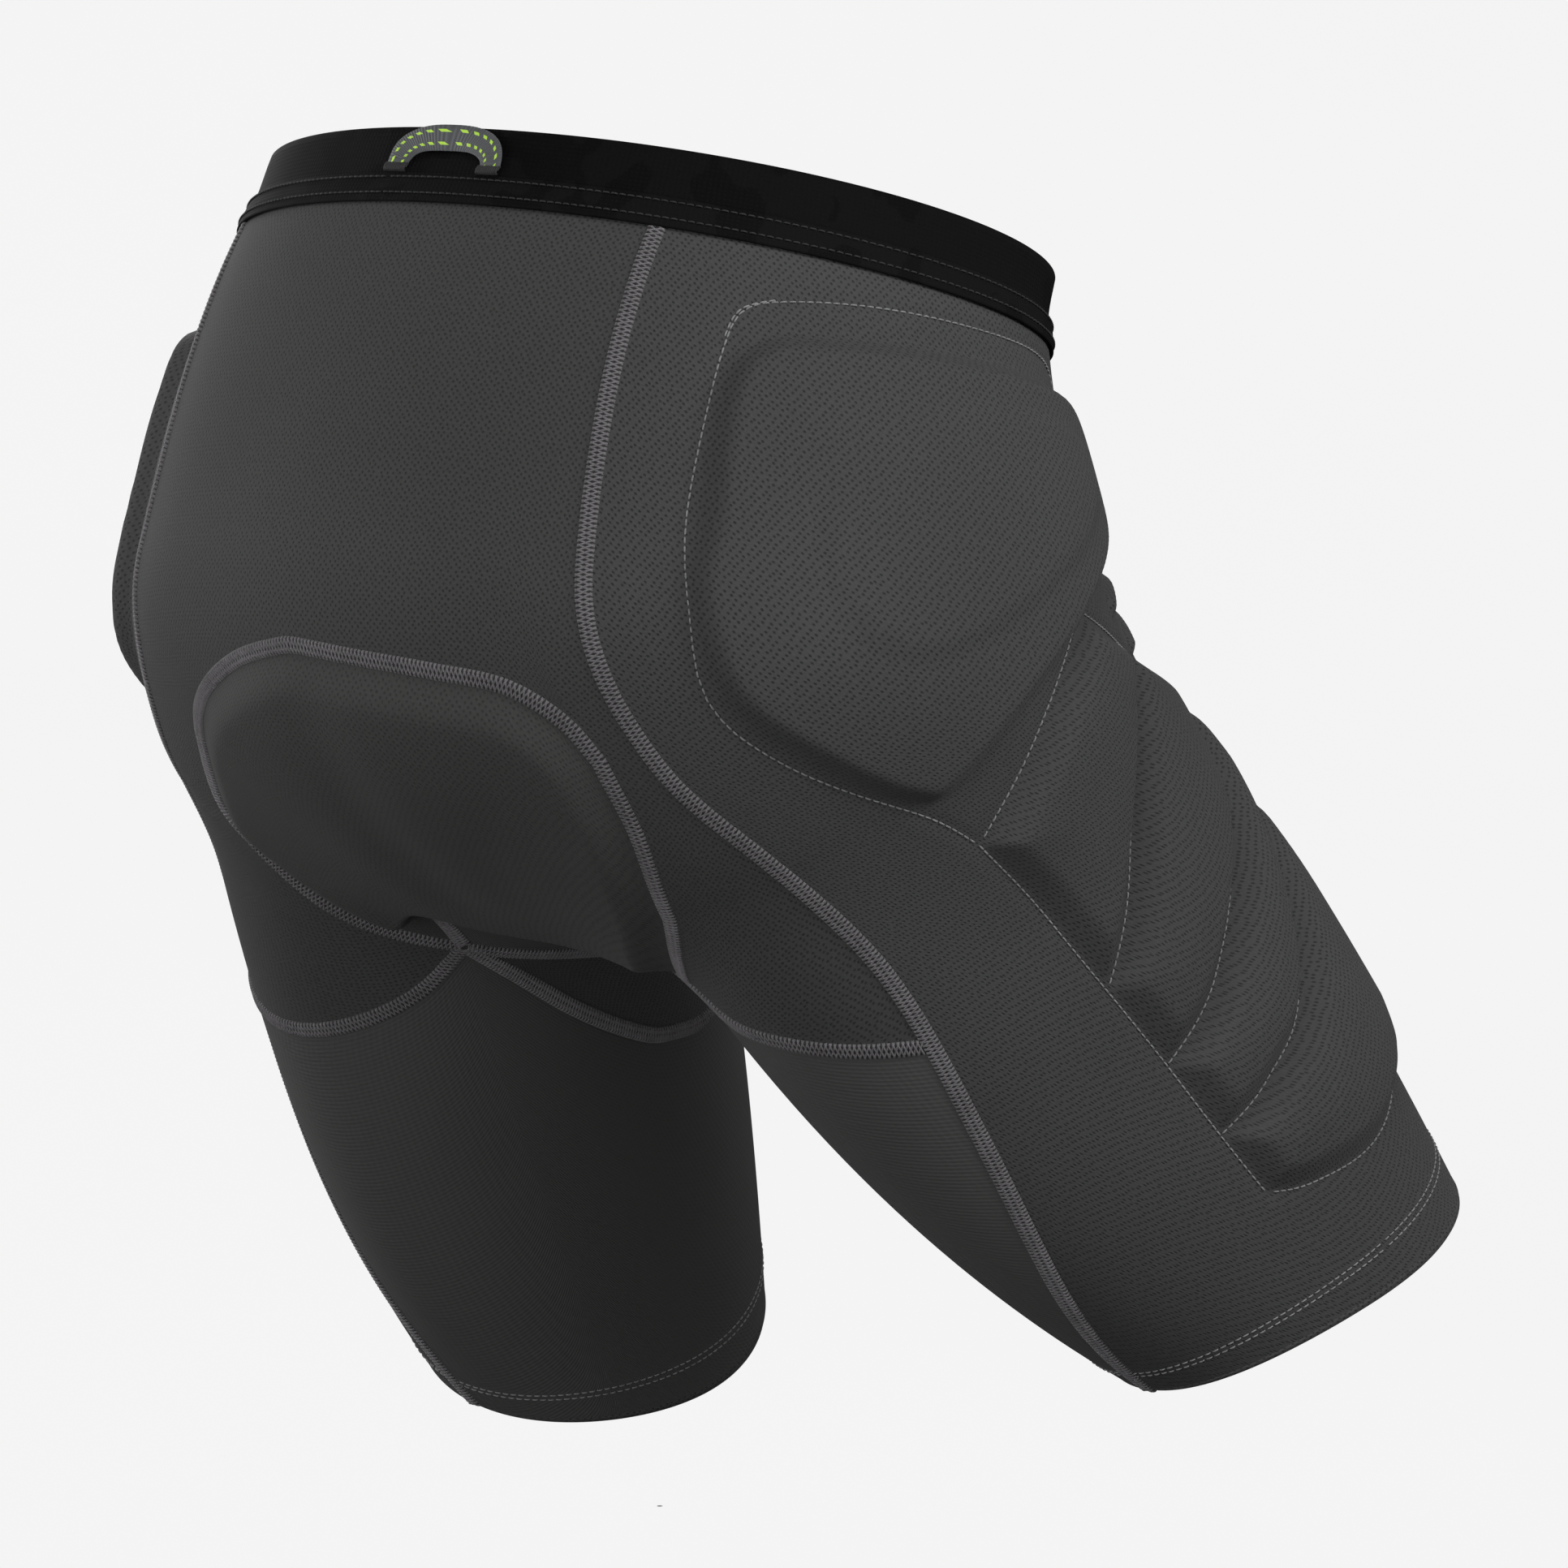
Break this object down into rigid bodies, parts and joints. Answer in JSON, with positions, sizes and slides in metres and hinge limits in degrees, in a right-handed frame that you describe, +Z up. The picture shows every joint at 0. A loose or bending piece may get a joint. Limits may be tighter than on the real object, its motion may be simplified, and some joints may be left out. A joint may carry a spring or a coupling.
{
  "type": "padded impact shorts",
  "caption": "Padded impact shorts for snow sports, shaped as worn in a low riding stance, with hip, thigh and seat padding under stretch panels.",
  "frame": {"origin": "centre of the waist opening, on the plane of its top edge", "axes": "+X towards the wearer's right, +Y forwards, +Z up; the waist opening leans forward about X"},
  "size_m": [0.4219, 0.401, 0.4739],
  "materials": {
    "knit": "perforated stretch knit, matte",
    "smooth_knit": "smooth stretch knit, matte",
    "elastic": "woven elastic, matte",
    "foam": "soft foam",
    "lining": "mesh lining",
    "thread": "flat seam of fine thread",
    "ribbon": "woven ribbon",
    "silicone": "soft silicone print"
  },
  "bodies": {
    "pelvis": {"waistband_elastic": "elastic", "waistband_binding": "elastic", "back_panel": "knit", "front_panel": "knit", "seat_panel": "smooth_knit", "crotch_gusset": "smooth_knit", "seat_foam": "foam", "seat_lining": "lining", "right_side_panel": "knit", "right_hip_pad": "foam", "right_hip_lining": "lining", "left_side_panel": "knit", "left_hip_pad": "foam", "left_hip_lining": "lining", "seat_base_seam": "thread", "seat_edge_seam": "thread", "gusset_seam": "thread", "right_back_seam": "thread", "right_front_seam": "thread", "right_rear_cross_seam": "thread", "right_front_cross_seam": "thread", "left_back_seam": "thread", "left_front_seam": "thread", "left_rear_cross_seam": "thread", "left_front_cross_seam": "thread"},
    "right_leg": {"right_inner_leg_panel": "smooth_knit", "right_thigh_pad_1": "foam", "right_thigh_pad_2": "foam", "right_thigh_pad_3": "foam", "right_thigh_pad_4": "foam", "right_thigh_lining": "lining", "right_hem": "knit", "right_gripper": "silicone"},
    "left_leg": {"left_inner_leg_panel": "smooth_knit", "left_thigh_pad_1": "foam", "left_thigh_pad_2": "foam", "left_thigh_pad_3": "foam", "left_thigh_pad_4": "foam", "left_thigh_lining": "lining", "left_hem": "knit", "left_gripper": "silicone"},
    "loop": {"hang_loop": "ribbon"}
  },
  "joints": [
    {"name": "right_hip_flex", "type": "hinge", "parent": "pelvis", "child": "right_leg", "pos_m": [0.099, -0.022, -0.166], "axis": [1, 0, 0], "range_deg": [-25, 10], "deforming": ["right_side_panel", "right_back_seam", "right_front_seam", "right_rear_cross_seam", "right_front_cross_seam", "back_panel", "seat_panel", "seat_edge_seam", "seat_base_seam"]},
    {"name": "left_hip_flex", "type": "hinge", "parent": "pelvis", "child": "left_leg", "pos_m": [-0.099, -0.022, -0.166], "axis": [1, 0, 0], "range_deg": [-25, 12], "deforming": ["left_side_panel", "left_back_seam", "left_front_seam", "left_rear_cross_seam", "left_front_cross_seam", "front_panel", "crotch_gusset", "gusset_seam"]},
    {"name": "hang_loop_flip", "type": "hinge", "parent": "pelvis", "child": "loop", "pos_m": [0.0231, -0.1186, 0.0171], "axis": [0.994, 0.1048, -0.03], "range_deg": [0, 110]}
  ]
}
